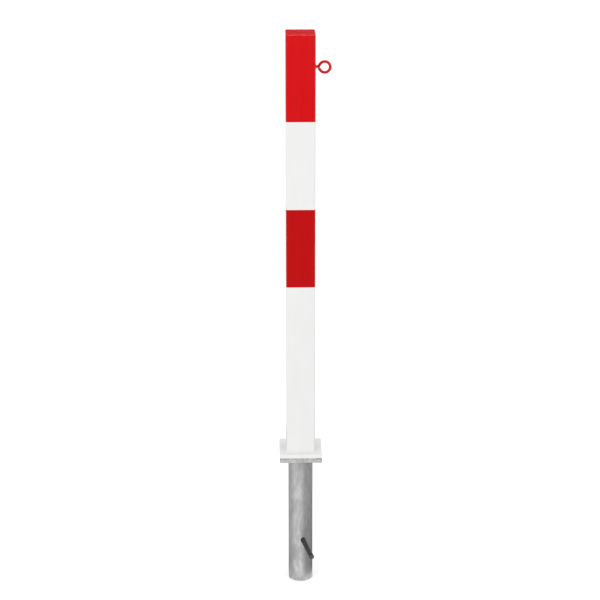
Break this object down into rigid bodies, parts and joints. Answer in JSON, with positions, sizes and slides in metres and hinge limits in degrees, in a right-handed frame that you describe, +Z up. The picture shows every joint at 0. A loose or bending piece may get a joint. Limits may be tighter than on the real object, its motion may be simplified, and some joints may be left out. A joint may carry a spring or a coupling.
{
  "type": "removable bollard",
  "caption": "Square red and white post on a base plate, with a chain eye and a hidden hook lock, whose spigot stands in a galvanised ground sleeve with a loose anchor bar.",
  "frame": {"origin": "on the ground sleeve's axis at the ground line, the top face of the sleeve plate", "axes": "+Z up along the post and the sleeve, -Y the front, +X the side with the chain eye"},
  "size_m": [0.1248, 0.2178, 1.397],
  "materials": {
    "white_paint": "gloss white coat, red bands on the post",
    "red_paint": "gloss signal red coat",
    "galvanised_steel": "hot-dip galvanised, mottled and dull",
    "black_steel": "black rolled bar with sawn ends",
    "bright_steel": "turned stainless steel",
    "brass_ring": "plain brass",
    "lock_zinc": "bright zinc plated",
    "spring_steel": "dark phosphated spring steel"
  },
  "bodies": {
    "ground_sleeve": {"sleeve_tube": "galvanised_steel", "sleeve_plate": "galvanised_steel", "anchor_bar": "black_steel"},
    "post": {"post_tube": "white_paint", "post_cap": "red_paint", "post_base_plate": "white_paint", "spigot_tube": "galvanised_steel", "guide_key": "galvanised_steel", "chain_eye": "red_paint", "lock_housing": "bright_steel", "lock_stop_pin": "bright_steel"},
    "lock": {"lock_spindle": "bright_steel", "lock_thrust_ring": "brass_ring", "lock_hook": "lock_zinc", "lock_disc_spring": "spring_steel", "lock_washer": "lock_zinc", "lock_nut": "lock_zinc"}
  },
  "joints": [
    {"name": "post_lift", "type": "slide", "parent": "ground_sleeve", "child": "post", "axis": [0, 0, 1], "range_m": [0, 0.17]},
    {"name": "lock_turn", "type": "hinge", "parent": "post", "child": "lock", "pos_m": [0, 0, 0.032], "axis": [1, 0, 0], "range_deg": [0, 30]}
  ]
}
